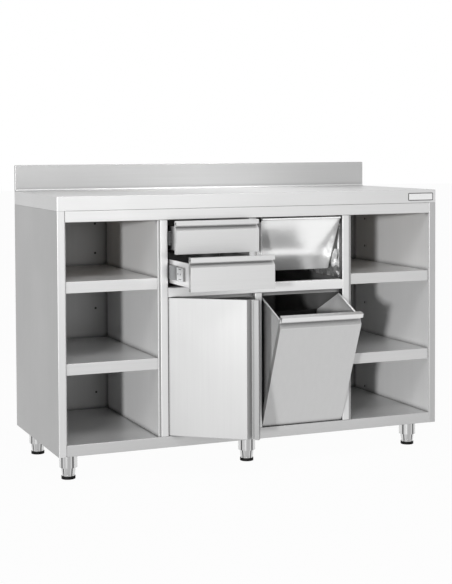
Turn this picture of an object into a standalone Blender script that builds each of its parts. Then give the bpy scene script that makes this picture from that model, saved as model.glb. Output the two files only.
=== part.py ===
"""Stainless coffee machine cabinet: open bays, two drawers, door, waste flap and tilt-out bin.

Metres, +Z up, the front faces -Y. The drawers, door, bin and flap stand part open.
"""
from math import cos, hypot, radians, sin, tan

import bmesh
import bpy
from mathutils import Matrix, Vector

# Overall sizes
WIDTH = 1.500
DEPTH = 0.600
WORKTOP_HEIGHT = 1.000
APRON = 0.050
SPLASH_HEIGHT = 0.100
SPLASH_THICKNESS = 0.015
CORE_THICKNESS = 0.030
LEG_HEIGHT = 0.100

# Sheet and fits
SHEET = 0.0012
BEND = 0.0026
BEND_STEPS = 3
SEAT = 0.0003
SHELF_FIT = 0.0006
OVERCUT = 0.010

# Carcase
BASE_RAIL = 0.040
TOP_RAIL = 0.040
RAIL_FLANGE = 0.030
POST_WIDTH = 0.0285
POST_DEPTH = 0.022
REAR_FLANGE = 0.028
LINER_STEP = 0.009
LINER_SETBACK = 0.003
DIVIDER_X = 0.361
DIVIDER_WIDTH = 0.028
MID_X = 0.0035
MID_WIDTH = 0.028
MIDDLE_RAIL_TOP = 0.670
MIDDLE_RAIL = 0.035
STRIP_DROP = 0.013
STRIP_PLAY = 0.001
PARTITION_SETBACK = 0.050

# Shelves
SHELF_LIP = 0.040
SHELF_BACK_LIP = 0.020
SHELF_SETBACK = 0.005
LEFT_SHELVES = (0.706, 0.422)
RIGHT_SHELVES = (0.690, 0.388)
PEG_RADIUS = 0.003
PEG_LENGTH = 0.007
PEG_INSET = 0.070

# Fronts and their folded grips
FRONT_THICKNESS = 0.020
FRONT_GAP = 0.002
GRIP_LIP = 0.016
GRIP_CHANNEL = 0.026
DRAWER_CHANNEL = 0.018
GRIP_SLOPE = 0.014
GRIP_DEPTH = 0.0145
GRIP_HOOK = 0.004
GRIP_WALL = 0.006
BACK_RETURN = 0.012

# Drawers
DRAWER_SIDE_GAP = 0.0104
UPPER_OPEN = 0.060
LOWER_OPEN = 0.1965
TRAY_LIFT = 0.012
TRAY_DROP = 0.020
TRAY_LENGTH = 0.480
SLIDE_SPACE = 0.0125
SLIDE_LENGTH = 0.480
OUTER_SLIDE_HEIGHT = 0.052
INNER_SLIDE_START = 0.038
OUTER_SLIDE_DEPTH = 0.0095
SLIDE_PLAY = 0.0004

# Door
DOOR_OPEN = radians(37.6)
DOOR_HINGE_GAP = 0.004
PIVOT_INSET = 0.008
PIN_RADIUS = 0.004
PIN_FIT = 0.0003
PIN_LENGTH = 0.009
BRACKET_LENGTH = 0.022
BRACKET_SHEET = 0.001

# Bin
BIN_TILT = radians(22.7)
BIN_GAP = 0.0035
BIN_TOP_GAP = 0.037
BIN_PIVOT_LIFT = 0.020
BIN_PIVOT_DEPTH = 0.010
TUB_INSET = 0.004
TUB_DROP = 0.0195
TUB_FLAT = 0.175
TUB_DEPTH = 0.310
TUB_REAR_HEIGHT = 0.290
TUB_LIFT = 0.030

# Flap
FLAP_TILT = radians(27.4)
FLAP_LENGTH = 0.2257
FLAP_SIDE_GAP = 0.004
FLAP_HEM = 0.010
FLAP_ROD_RADIUS = 0.0024
FLAP_ROLL_RADIUS = 0.0045
FLAP_EAR = 0.0015
FLAP_DROP = 0.008
FLAP_SETBACK = 0.009

# Legs
LEG_SIDE_INSET = 0.063
LEG_FRONT_INSET = 0.106
LEG_REAR_INSET = 0.073
LEG_RADIUS = 0.032
BEARER_WIDTH = 0.090
BEARER_DROP = 0.028
BEARER_SHEET = 0.002
TUBE_END = 0.041
INSERT_TOP_RADIUS = 0.0262
INSERT_FOOT_RADIUS = 0.0247
INSERT_STEM = 0.034
PAD_RADIUS = 0.0250
PAD_HEIGHT = 0.009
PAD_EDGE = 0.0015
ROUND_STEPS = 20

# Levels and planes worked out from the sizes above
HALF = WIDTH / 2
FLOOR_Z = LEG_HEIGHT + BASE_RAIL
BODY_TOP = WORKTOP_HEIGHT - APRON - SEAT
RAIL_BOTTOM = WORKTOP_HEIGHT - APRON - TOP_RAIL
MIDDLE_RAIL_BOTTOM = MIDDLE_RAIL_TOP - MIDDLE_RAIL
POST_X = HALF - POST_WIDTH
DIVIDER_OUT = DIVIDER_X + DIVIDER_WIDTH / 2
DIVIDER_IN = DIVIDER_X - DIVIDER_WIDTH / 2
MID_LEFT = MID_X - MID_WIDTH / 2
MID_RIGHT = MID_X + MID_WIDTH / 2
BAY_OUT = POST_X - SEAT - SHEET
BAY_IN = DIVIDER_OUT + LINER_STEP
LEFT_CELL = MID_LEFT + DIVIDER_IN
RIGHT_CELL = DIVIDER_IN - MID_RIGHT
LEFT_CELL_X = (MID_LEFT - DIVIDER_IN) / 2
RIGHT_CELL_X = (DIVIDER_IN + MID_RIGHT) / 2
DOOR_WIDTH = LEFT_CELL - DOOR_HINGE_GAP - FRONT_GAP
DOOR_HEIGHT = MIDDLE_RAIL_BOTTOM - FLOOR_Z - 2 * FRONT_GAP
DRAWER_WIDTH = LEFT_CELL - 2 * DRAWER_SIDE_GAP
DRAWER_HEIGHT = (RAIL_BOTTOM - MIDDLE_RAIL_TOP - 3 * FRONT_GAP) / 2
TRAY_HEIGHT = DRAWER_HEIGHT - TRAY_LIFT - TRAY_DROP
BIN_WIDTH = RIGHT_CELL - 2 * FRONT_GAP
BIN_HEIGHT = MIDDLE_RAIL_BOTTOM - FLOOR_Z - BIN_GAP - BIN_TOP_GAP
TUB_HEIGHT = BIN_HEIGHT - TUB_DROP
DOOR_REACH = (DOOR_WIDTH - PIVOT_INSET) * sin(DOOR_OPEN) - PIVOT_INSET * (1 - cos(DOOR_OPEN))
BIN_REACH = (BIN_HEIGHT - BIN_PIVOT_LIFT + BIN_GAP) * sin(BIN_TILT) - BIN_PIVOT_DEPTH * (1 - cos(BIN_TILT))
REACH = max(LOWER_OPEN, UPPER_OPEN, DOOR_REACH, BIN_REACH)
FRONT = (REACH - DEPTH) / 2
REAR = FRONT + DEPTH
BACK_FACE = REAR - SHEET - SEAT
BACK_INNER = BACK_FACE - SHEET - SEAT

for old in list(bpy.data.objects):
    bpy.data.objects.remove(old, do_unlink=True)

PARTS = bpy.data.collections.new("coffee_machine_cabinet")
CUTTERS = bpy.data.collections.new("cutters")
bpy.context.scene.collection.children.link(PARTS)
bpy.context.scene.collection.children.link(CUTTERS)


def finish(name, colour, metallic, roughness):
    """One Principled material."""
    made = bpy.data.materials.new(name)
    made.use_nodes = True
    shader = made.node_tree.nodes["Principled BSDF"]
    shader.inputs["Base Color"].default_value = (*colour, 1.0)
    shader.inputs["Metallic"].default_value = metallic
    shader.inputs["Roughness"].default_value = roughness
    return made


STEEL = ((0.74, 0.74, 0.74), 1.0, 0.36)
BRIGHT = ((0.80, 0.80, 0.80), 1.0, 0.20)
ZINC = ((0.66, 0.67, 0.68), 1.0, 0.40)
BOARD = ((0.45, 0.34, 0.22), 0.0, 0.80)
RUBBER = ((0.015, 0.015, 0.016), 0.0, 0.70)


def add_object(name, mesh, look, parent=None):
    """Put a mesh in the parts collection with its own material."""
    made = bpy.data.objects.new(name, mesh)
    made.data.materials.append(finish(name + "_finish", *look))
    PARTS.objects.link(made)
    made.parent = parent
    return made


def anchor(name, place, turn=(0.0, 0.0, 0.0)):
    """An empty on a joint's axis, which the moving pieces hang from."""
    made = bpy.data.objects.new(name, None)
    made.location = place
    made.rotation_euler = turn
    PARTS.objects.link(made)
    return made


def mesh_from(build):
    """A mesh from a function that fills a bmesh."""
    shape = bmesh.new()
    build(shape)
    mesh = bpy.data.meshes.new("shape")
    shape.to_mesh(mesh)
    shape.free()
    return mesh


def along(axis, u, v, w):
    """A point at (u, v) in the plane square to an axis, and w along it."""
    return {"X": Vector((w, u, v)), "Y": Vector((u, w, v)), "Z": Vector((u, v, w))}[axis]


def fill_box(shape, low, high):
    """Add a box between two corners."""
    size = [b - a for a, b in zip(low, high)]
    middle = [(a + b) / 2 for a, b in zip(low, high)]
    matrix = Matrix.Translation(middle) @ Matrix.Diagonal((*size, 1.0))
    bmesh.ops.create_cube(shape, size=1.0, matrix=matrix)


def box(name, low, high, look=STEEL, parent=None):
    """A plain box between two corners."""
    return add_object(name, mesh_from(lambda shape: fill_box(shape, low, high)), look, parent)


def fill_prism(shape, outline, axis, start, end):
    """Add a closed outline drawn along an axis."""
    face = shape.faces.new([shape.verts.new(along(axis, u, v, start)) for u, v in outline])
    grown = bmesh.ops.extrude_face_region(shape, geom=[face])
    moved = [item for item in grown["geom"] if isinstance(item, bmesh.types.BMVert)]
    bmesh.ops.translate(shape, verts=moved, vec=along(axis, 0.0, 0.0, end - start))
    bmesh.ops.recalc_face_normals(shape, faces=shape.faces)


def fill_rod(shape, axis, centre, start, end, radius):
    """Add a round rod along an axis through (u, v)."""
    turn = {"X": Matrix.Rotation(radians(90), 4, "Y"), "Y": Matrix.Rotation(radians(90), 4, "X"),
            "Z": Matrix.Identity(4)}[axis]
    middle = along(axis, *centre, (start + end) / 2)
    bmesh.ops.create_cone(shape, cap_ends=True, segments=ROUND_STEPS, radius1=radius, radius2=radius,
                          depth=end - start, matrix=Matrix.Translation(middle) @ turn)


def fill_ring(shape, axis, centre, start, end, inner, outer):
    """Add a tube between two radii: a square section spun round the axis through (u, v)."""
    u, v = centre
    section = ((outer, end), (outer, start), (inner, start), (inner, end))
    verts = [shape.verts.new(along(axis, u + radius, v, where)) for radius, where in section]
    edges = [shape.edges.new(pair) for pair in zip(verts, verts[1:] + verts[:1])]
    bmesh.ops.spin(shape, geom=verts + edges, cent=along(axis, u, v, 0.0), axis=along(axis, 0.0, 0.0, 1.0),
                   angle=radians(360), steps=ROUND_STEPS, use_merge=True)
    bmesh.ops.remove_doubles(shape, verts=shape.verts, dist=0.00001)
    bmesh.ops.recalc_face_normals(shape, faces=shape.faces)


def bent(path):
    """A folded path with each corner rounded to the bend radius."""
    points = [Vector(path[0])]
    for before, corner, after in zip(path, path[1:], path[2:]):
        corner = Vector(corner)
        back = (Vector(before) - corner).normalized()
        on = (Vector(after) - corner).normalized()
        half_angle = back.angle(on) / 2
        reach = BEND / tan(half_angle)
        centre = corner + (back + on).normalized() * (BEND / sin(half_angle))
        first = (corner + back * reach - centre).normalized()
        last = (corner + on * reach - centre).normalized()
        for step in range(BEND_STEPS + 1):
            points.append(centre + first.slerp(last, step / BEND_STEPS) * BEND)
    points.append(Vector(path[-1]))
    return points


def add_solidify(made, thickness, offset):
    """Give an open surface its sheet thickness."""
    solid = made.modifiers.new("sheet", "SOLIDIFY")
    solid.thickness = thickness
    solid.offset = offset
    solid.use_even_offset = True
    solid.use_quality_normals = True


def folded(name, path, axis, start, end, side, look=STEEL, parent=None, thickness=SHEET):
    """A folded sheet: a path with rounded bends, drawn along an axis, thickened to one side of the path."""
    def build(shape):
        near = [shape.verts.new(along(axis, u, v, start)) for u, v in bent(path)]
        edges = [shape.edges.new(pair) for pair in zip(near, near[1:])]
        grown = bmesh.ops.extrude_edge_only(shape, edges=edges)
        moved = [item for item in grown["geom"] if isinstance(item, bmesh.types.BMVert)]
        bmesh.ops.translate(shape, verts=moved, vec=along(axis, 0.0, 0.0, end - start))
        bmesh.ops.recalc_face_normals(shape, faces=shape.faces)
        (u0, v0), (u1, v1) = path[0], path[1]
        left = along(axis, v0 - v1, u1 - u0, 0.0)
        toward = left if side == "left" else -left
        first = min(shape.faces, key=lambda face: (face.calc_center_median()
                                                   - along(axis, u0, v0, (start + end) / 2)).length)
        if first.normal.dot(toward) > 0:
            bmesh.ops.reverse_faces(shape, faces=shape.faces)
    made = add_object(name, mesh_from(build), look, parent)
    add_solidify(made, thickness, -1.0)
    return made


def tray(name, low, high, open_side, look=STEEL, parent=None, thickness=SHEET):
    """An open box of sheet: the box's outer faces without one side, thickened inwards."""
    axis = "XYZ".index(open_side[1])
    sign = 1 if open_side[0] == "+" else -1

    def build(shape):
        fill_box(shape, low, high)
        shape.normal_update()
        gone = [face for face in shape.faces if face.normal[axis] * sign > 0.5]
        bmesh.ops.delete(shape, geom=gone, context="FACES_ONLY")
    made = add_object(name, mesh_from(build), look, parent)
    rounding = made.modifiers.new("bends", "BEVEL")
    rounding.width = BEND
    rounding.segments = BEND_STEPS
    rounding.limit_method = "ANGLE"
    add_solidify(made, thickness, -1.0)
    return made


def turned(name, profile, look, parent):
    """A shape turned round its parent's Z axis from (radius, height) points, outer side top to bottom."""
    def build(shape):
        verts = [shape.verts.new((radius, 0.0, height)) for radius, height in profile]
        for pair in zip(verts, verts[1:]):
            shape.edges.new(pair)
    made = add_object(name, mesh_from(build), look, parent)
    spin = made.modifiers.new("turn", "SCREW")
    spin.steps = ROUND_STEPS
    spin.render_steps = ROUND_STEPS
    spin.use_merge_vertices = True
    spin.merge_threshold = 0.0001
    return made


def cutter(name, mesh, parent=None):
    """A hidden shape that is cut out of another."""
    made = bpy.data.objects.new(name, mesh)
    made.hide_render = True
    made.display_type = "WIRE"
    made.parent = parent
    CUTTERS.objects.link(made)
    return made


def cut(made, tool):
    """Cut a hidden shape out of a piece."""
    change = made.modifiers.new(tool.name, "BOOLEAN")
    change.operation = "DIFFERENCE"
    change.object = tool


def unite(made, tool):
    """Weld a hidden shape to a piece."""
    change = made.modifiers.new(tool.name, "BOOLEAN")
    change.operation = "UNION"
    change.object = tool


def inset(outline, distances):
    """Move each edge of a counter-clockwise outline inwards by its own distance."""
    count = len(outline)
    lines = []
    for index in range(count):
        start = Vector(outline[index])
        run = (Vector(outline[(index + 1) % count]) - start).normalized()
        lines.append((start + Vector((-run.y, run.x)) * distances[index], run))
    points = []
    for index in range(count):
        (a, da), (b, db) = lines[index - 1], lines[index]
        cross = da.x * db.y - da.y * db.x
        step = ((b.x - a.x) * db.y - (b.y - a.y) * db.x) / cross
        points.append(tuple(a + da * step))
    return points


def grip_outline(length, offset, depth, channel):
    """Section of a front with its grip: (along the front, behind its face), counter-clockwise."""
    edge = length - GRIP_LIP
    face_end = edge - channel
    root = length - GRIP_WALL
    section = [(0, 0), (face_end, 0), (face_end + GRIP_SLOPE, GRIP_DEPTH), (root, GRIP_DEPTH),
               (root, GRIP_HOOK), (edge, GRIP_HOOK), (edge, 0), (length, 0),
               (length, FRONT_THICKNESS), (0, FRONT_THICKNESS)]
    return [(along_front + offset, behind + depth) for along_front, behind in section]


def front_shell(name, length, offset, depth, axis, start, end, parent, channel=GRIP_CHANNEL, returns=True):
    """A folded front: the section along the front, hollowed to the sheet thickness, its back open.

    With returns, the sheet folds back round the open back, and what the front carries seats on that.
    """
    swap = axis == "X"
    outer = grip_outline(length, offset, depth, channel)
    walls = [SHEET] * len(outer)
    walls[8] = SHEET if returns else -OVERCUT
    inner = inset(outer, walls)

    def plane(points):
        return [(v, u) if swap else (u, v) for u, v in points]
    made = add_object(name, mesh_from(lambda shape: fill_prism(shape, plane(outer), axis, start, end)),
                      STEEL, parent)
    hollow = mesh_from(lambda shape: fill_prism(shape, plane(inner), axis, start + SHEET, end - SHEET))
    cut(made, cutter(name + "_hollow", hollow, parent))
    if returns:
        near, far = offset + BACK_RETURN, offset + length - BACK_RETURN
        inside, behind = depth + FRONT_THICKNESS - 1.5 * SHEET, depth + FRONT_THICKNESS + OVERCUT
        outline = plane([(near, inside), (far, inside), (far, behind), (near, behind)])
        window = mesh_from(lambda shape: fill_prism(shape, outline, axis, start + BACK_RETURN, end - BACK_RETURN))
        cut(made, cutter(name + "_back_window", window, parent))
    return made


def worktop():
    """Worktop pan with its core board, and the upstand along the rear edge."""
    top = WORKTOP_HEIGHT
    tray("worktop", (-HALF, FRONT, top - APRON), (HALF, REAR, top), "-Z")
    inside = SHEET + BEND
    under = top - SHEET - SEAT
    box("worktop_core", (-HALF + inside, FRONT + inside, under - CORE_THICKNESS),
        (HALF - inside, REAR - inside, under), BOARD)
    tray("backsplash", (-HALF, REAR - SPLASH_THICKNESS, top + SEAT), (HALF, REAR, top + SPLASH_HEIGHT), "-Z")


def side_panel(name, sign):
    """Outer side with its front post and rear flange."""
    path = [(sign * (HALF - REAR_FLANGE), REAR), (sign * HALF, REAR), (sign * HALF, FRONT),
            (sign * POST_X, FRONT), (sign * POST_X, FRONT + POST_DEPTH)]
    folded(name, path, "Z", LEG_HEIGHT, BODY_TOP, "left" if sign < 0 else "right")


def divider(name, sign):
    """Divider skin: the post's return, its front face, and the wall on the middle cells' side."""
    path = [(sign * DIVIDER_OUT, FRONT + POST_DEPTH), (sign * DIVIDER_OUT, FRONT), (sign * DIVIDER_IN, FRONT),
            (sign * DIVIDER_IN, BACK_INNER)]
    folded(name, path, "Z", FLOOR_Z + SEAT, RAIL_BOTTOM - SEAT, "left" if sign < 0 else "right")


def liner(name, wall_x, post_x, shelf_tops):
    """Inner skin of a bay, with pegs that carry the shelves, and a front flange where the post stands off."""
    away = 1 if post_x > wall_x else -1
    front = FRONT + LINER_SETBACK
    path = [(wall_x, front), (wall_x, BACK_INNER)]
    if abs(post_x - wall_x) > BEND:
        path.insert(0, (post_x - away * SEAT, front))
    skin = folded(name, path, "Z", FLOOR_Z + SEAT, RAIL_BOTTOM - SEAT, "right" if away > 0 else "left")

    def pegs(shape):
        for top in shelf_tops:
            for y in (FRONT + PEG_INSET, BACK_INNER - PEG_INSET):
                ends = sorted((wall_x + away * SHEET / 2, wall_x - away * PEG_LENGTH))
                fill_rod(shape, "X", (y, top - SHEET - SEAT - PEG_RADIUS), *ends, PEG_RADIUS)
    unite(skin, cutter(name + "_pegs", mesh_from(pegs)))


def carcase():
    """Sides, dividers, liners, floor, back, rails and partitions."""
    side_panel("left_side_panel", -1)
    side_panel("right_side_panel", 1)
    divider("left_divider", -1)
    divider("right_divider", 1)
    liner("left_bay_outer_liner", -BAY_OUT, -POST_X, LEFT_SHELVES)
    liner("left_bay_inner_liner", -BAY_IN, -DIVIDER_OUT, LEFT_SHELVES)
    liner("right_bay_inner_liner", BAY_IN, DIVIDER_OUT, RIGHT_SHELVES)
    liner("right_bay_outer_liner", BAY_OUT, POST_X, RIGHT_SHELVES)
    end = POST_X - SEAT
    flange = FRONT + RAIL_FLANGE
    floor = [(flange, LEG_HEIGHT), (FRONT, LEG_HEIGHT), (FRONT, FLOOR_Z), (BACK_INNER, FLOOR_Z),
             (BACK_INNER, LEG_HEIGHT)]
    folded("bottom_panel", floor, "X", -end, end, "right")
    inside = HALF - SHEET - BEND
    box("back_panel", (-inside, BACK_FACE - SHEET, LEG_HEIGHT), (inside, BACK_FACE, BODY_TOP))
    rail = [(flange, RAIL_BOTTOM), (FRONT, RAIL_BOTTOM), (FRONT, BODY_TOP), (flange, BODY_TOP)]
    folded("top_rail", rail, "X", -end, end, "right")
    cell = DIVIDER_IN - SEAT
    lip = FRONT + PIVOT_INSET + hypot(PIVOT_INSET, FRONT_THICKNESS - PIVOT_INSET) + STRIP_PLAY
    cross = [(lip, MIDDLE_RAIL_BOTTOM - STRIP_DROP), (lip, MIDDLE_RAIL_BOTTOM), (FRONT, MIDDLE_RAIL_BOTTOM),
             (FRONT, MIDDLE_RAIL_TOP), (flange, MIDDLE_RAIL_TOP)]
    folded("middle_rail", cross, "X", -cell, cell, "right")
    post = [(MID_LEFT, FRONT + FRONT_THICKNESS - SEAT), (MID_LEFT, FRONT), (MID_RIGHT, FRONT),
            (MID_RIGHT, FRONT + FRONT_THICKNESS - SEAT)]
    folded("mid_post", post, "Z", FLOOR_Z + SEAT, MIDDLE_RAIL_BOTTOM - SEAT, "left")
    half_sheet = SHEET / 2
    wall_top = MIDDLE_RAIL_BOTTOM - STRIP_DROP - SEAT
    box("lower_partition", (MID_X - half_sheet, FRONT + SHEET + SEAT, FLOOR_Z + SEAT),
        (MID_X + half_sheet, BACK_INNER, wall_top))
    head = FRONT + PARTITION_SETBACK
    screen = [(MID_LEFT, BACK_INNER), (MID_LEFT, head), (MID_RIGHT, head), (MID_RIGHT, head + POST_DEPTH)]
    folded("upper_partition", screen, "Z", MIDDLE_RAIL_TOP + SEAT, BODY_TOP, "left")
    box("drawer_deck", (-cell, flange + SEAT, MIDDLE_RAIL_TOP - SHEET), (MID_RIGHT, BACK_INNER, MIDDLE_RAIL_TOP))


def shelves():
    """Two shelves in each bay, with a deep lip at the front and a shallow one at the back."""
    front = FRONT + SHELF_SETBACK
    back = BACK_INNER - SHELF_FIT
    for side, place, heights in ((-1, "left", LEFT_SHELVES), (1, "right", RIGHT_SHELVES)):
        left, right = sorted((side * BAY_IN, side * BAY_OUT))
        for number, top in enumerate(heights, 1):
            path = [(front, top - SHELF_LIP), (front, top), (back, top), (back, top - SHELF_BACK_LIP)]
            folded(f"{place}_shelf_{number}", path, "X", left + SHELF_FIT, right - SHELF_FIT, "right")


def slide_member(name, wall, into, y0, y1, z, half_height, near, parent=None):
    """A slide member: a channel with its web beside a wall and its lips towards the drawer."""
    web = wall + into * near
    lip = wall + into * OUTER_SLIDE_DEPTH
    inner = web + into * SHEET
    outline = [(web, z - half_height), (lip, z - half_height), (lip, z - half_height + SHEET),
               (inner, z - half_height + SHEET), (inner, z + half_height - SHEET),
               (lip, z + half_height - SHEET), (lip, z + half_height), (web, z + half_height)]
    add_object(name, mesh_from(lambda shape: fill_prism(shape, outline, "Y", y0, y1)), ZINC, parent)


def drawer(name, opening, low):
    """A drawer: its front, its tray with the inner slide bars, and the slides at each side."""
    half_cell = LEFT_CELL / 2
    sides = (("left", -half_cell, 1, FRONT_THICKNESS + BEND), ("right", half_cell, -1, PARTITION_SETBACK + BEND))
    level = TRAY_LIFT + TRAY_HEIGHT / 2
    back = FRONT_THICKNESS + SEAT
    carrier = anchor(name + "_drawer_runner", (LEFT_CELL_X, FRONT - opening, low))
    half_way = anchor(name + "_slide_runner", (LEFT_CELL_X, FRONT - opening / 2, low))
    fixed = anchor(name + "_slide_seat", (LEFT_CELL_X, FRONT, low))
    half = DRAWER_WIDTH / 2
    front_shell(name + "_drawer_front", DRAWER_HEIGHT, 0.0, 0.0, "X", -half, half, carrier, DRAWER_CHANNEL)
    tray_half = half_cell - SLIDE_SPACE
    body = tray(name + "_drawer_tray", (-tray_half, back, TRAY_LIFT),
                (tray_half, back + TRAY_LENGTH, TRAY_LIFT + TRAY_HEIGHT), "+Z", STEEL, carrier)
    half_outer = OUTER_SLIDE_HEIGHT / 2
    half_middle = half_outer - SHEET - SLIDE_PLAY
    half_inner = half_middle - SHEET - SLIDE_PLAY
    middle_near = SEAT + SHEET + SLIDE_PLAY
    inner_near = middle_near + SHEET + SLIDE_PLAY

    def bars(shape):
        for _, wall, into, _ in sides:
            x0, x1 = sorted((wall + into * inner_near, wall + into * (SLIDE_SPACE + SHEET / 2)))
            fill_box(shape, (x0, back + INNER_SLIDE_START, level - half_inner),
                     (x1, back + SLIDE_LENGTH, level + half_inner))
    unite(body, cutter(name + "_slide_bars", mesh_from(bars), carrier))
    for side, wall, into, start in sides:
        slide_member(f"{name}_{side}_slide_outer", wall, into, start, back + SLIDE_LENGTH, level, half_outer,
                     SEAT, fixed)
        slide_member(f"{name}_{side}_slide_middle", wall, into, back + BEND, back + SLIDE_LENGTH, level,
                     half_middle, middle_near, half_way)


def drawers():
    """Both drawers, one above the other in the left cell."""
    lower = MIDDLE_RAIL_TOP + FRONT_GAP
    drawer("lower", LOWER_OPEN, lower)
    drawer("upper", UPPER_OPEN, lower + DRAWER_HEIGHT + FRONT_GAP)


def door():
    """Hinged door on pivot pins at its left edge, one under the middle rail and one on the floor."""
    x, y = -DIVIDER_IN + DOOR_HINGE_GAP + PIVOT_INSET, FRONT + PIVOT_INSET
    swing = anchor("door_hinge", (x, y, FLOOR_Z + FRONT_GAP), (0.0, 0.0, -DOOR_OPEN))
    skin = front_shell("door_skin", DOOR_WIDTH, -PIVOT_INSET, -PIVOT_INSET, "Z", 0.0, DOOR_HEIGHT, swing,
                       returns=False)

    def holes(shape):
        for start, end in ((-OVERCUT, OVERCUT), (DOOR_HEIGHT - OVERCUT, DOOR_HEIGHT + OVERCUT)):
            fill_rod(shape, "Z", (0.0, 0.0), start, end, PIN_RADIUS + PIN_FIT)
    cut(skin, cutter("door_pin_holes", mesh_from(holes), swing))
    back = FRONT_THICKNESS - PIVOT_INSET
    rim = SHEET + SEAT
    box("door_inner_pan", (-PIVOT_INSET + rim, back - SHEET, rim),
        (DOOR_WIDTH - PIVOT_INSET - rim, back, DOOR_HEIGHT - rim), STEEL, swing)
    for name, level, into in (("door_lower_pivot", FLOOR_Z + SEAT, 1),
                              ("door_upper_pivot", MIDDLE_RAIL_BOTTOM - SEAT, -1)):
        slab = level + into * BRACKET_SHEET
        near, far = sorted((level, slab))
        plate = box(name, (x - PIVOT_INSET, y - PIVOT_INSET + BEND, near),
                    (x - PIVOT_INSET + BRACKET_LENGTH, y + PIVOT_INSET, far), ZINC)
        ends = sorted((level + into * BRACKET_SHEET / 2, slab + into * PIN_LENGTH))
        pin = mesh_from(lambda shape: fill_rod(shape, "Z", (x, y), *ends, PIN_RADIUS))
        unite(plate, cutter(name + "_pin", pin))


def waste_bin():
    """Tilt-out bin: a front with its grip, a tub behind it, and pivots near its lower edge."""
    x, y, z = RIGHT_CELL_X, FRONT + BIN_PIVOT_DEPTH, FLOOR_Z + BIN_PIVOT_LIFT
    swing = anchor("bin_pivot", (x, y, z), (BIN_TILT, 0.0, 0.0))
    half = BIN_WIDTH / 2
    low = BIN_GAP - BIN_PIVOT_LIFT
    front = front_shell("bin_front", BIN_HEIGHT, low, -BIN_PIVOT_DEPTH, "X", -half, half, swing)

    def holes(shape):
        for sign in (-1, 1):
            fill_rod(shape, "X", (0.0, 0.0), *sorted((sign * (half + OVERCUT), sign * (half - OVERCUT))),
                     PIN_RADIUS + PIN_FIT)
    cut(front, cutter("bin_pin_holes", mesh_from(holes), swing))
    for name, sign in (("bin_left_pivot", -1), ("bin_right_pivot", 1)):
        wall = x + sign * (RIGHT_CELL / 2 - SEAT)
        slab = wall - sign * BRACKET_SHEET
        disc = sorted((wall, slab))
        made = add_object(name, mesh_from(lambda shape: fill_rod(shape, "X", (y, z), *disc, PIVOT_INSET)), ZINC)
        ends = sorted((wall - sign * BRACKET_SHEET / 2, slab - sign * PIN_LENGTH))
        pin = mesh_from(lambda shape: fill_rod(shape, "X", (y, z), *ends, PIN_RADIUS))
        unite(made, cutter(name + "_pin", pin))
    face = FRONT_THICKNESS - BIN_PIVOT_DEPTH + SEAT
    base = low + TUB_LIFT
    rim = low + TUB_HEIGHT
    outline = [(face, base), (face + TUB_DEPTH, base), (face + TUB_DEPTH, low + TUB_REAR_HEIGHT),
               (face + TUB_FLAT, rim), (face, rim)]
    side = half - TUB_INSET
    tub = add_object("bin_tub", mesh_from(lambda shape: fill_prism(shape, outline, "X", -side, side)), STEEL, swing)
    hollow = inset(outline, [SHEET, SHEET, -OVERCUT, -OVERCUT, SHEET])
    void = mesh_from(lambda shape: fill_prism(shape, hollow, "X", SHEET - side, side - SHEET))
    cut(tub, cutter("bin_tub_hollow", void, swing))


def flap():
    """Push-in waste flap: a panel rolled round a hinge bar that hangs under the top rail."""
    x, y, z = RIGHT_CELL_X, FRONT + FLAP_SETBACK, RAIL_BOTTOM - FLAP_DROP
    swing = anchor("flap_hinge", (x, y, z), (FLAP_TILT, 0.0, 0.0))
    half = RIGHT_CELL / 2 - FLAP_SIDE_GAP
    path = [(0.0, -FLAP_ROLL_RADIUS + SHEET), (0.0, -FLAP_LENGTH), (FLAP_HEM, -FLAP_LENGTH)]
    panel = folded("flap_panel", path, "X", -half, half, "left", BRIGHT, swing)
    bore = FLAP_ROD_RADIUS + PIN_FIT
    roll = mesh_from(lambda shape: fill_ring(shape, "X", (0.0, 0.0), SHEET - half, half - SHEET, bore,
                                             FLAP_ROLL_RADIUS))
    unite(panel, cutter("flap_roll", roll, swing))
    reach = half + SEAT + FLAP_EAR
    rod = mesh_from(lambda shape: fill_rod(shape, "X", (y, z), x - reach, x + reach, FLAP_ROD_RADIUS))
    bar = add_object("flap_hinge_bar", rod, ZINC)

    def ears(shape):
        for sign in (-1, 1):
            x0, x1 = sorted((x + sign * (half + SEAT), x + sign * (reach + SEAT)))
            fill_box(shape, (x0, y - FLAP_ROLL_RADIUS, z - FLAP_ROLL_RADIUS),
                     (x1, y + FLAP_ROLL_RADIUS, RAIL_BOTTOM - SEAT))
    unite(bar, cutter("flap_ears", mesh_from(ears)))


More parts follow.
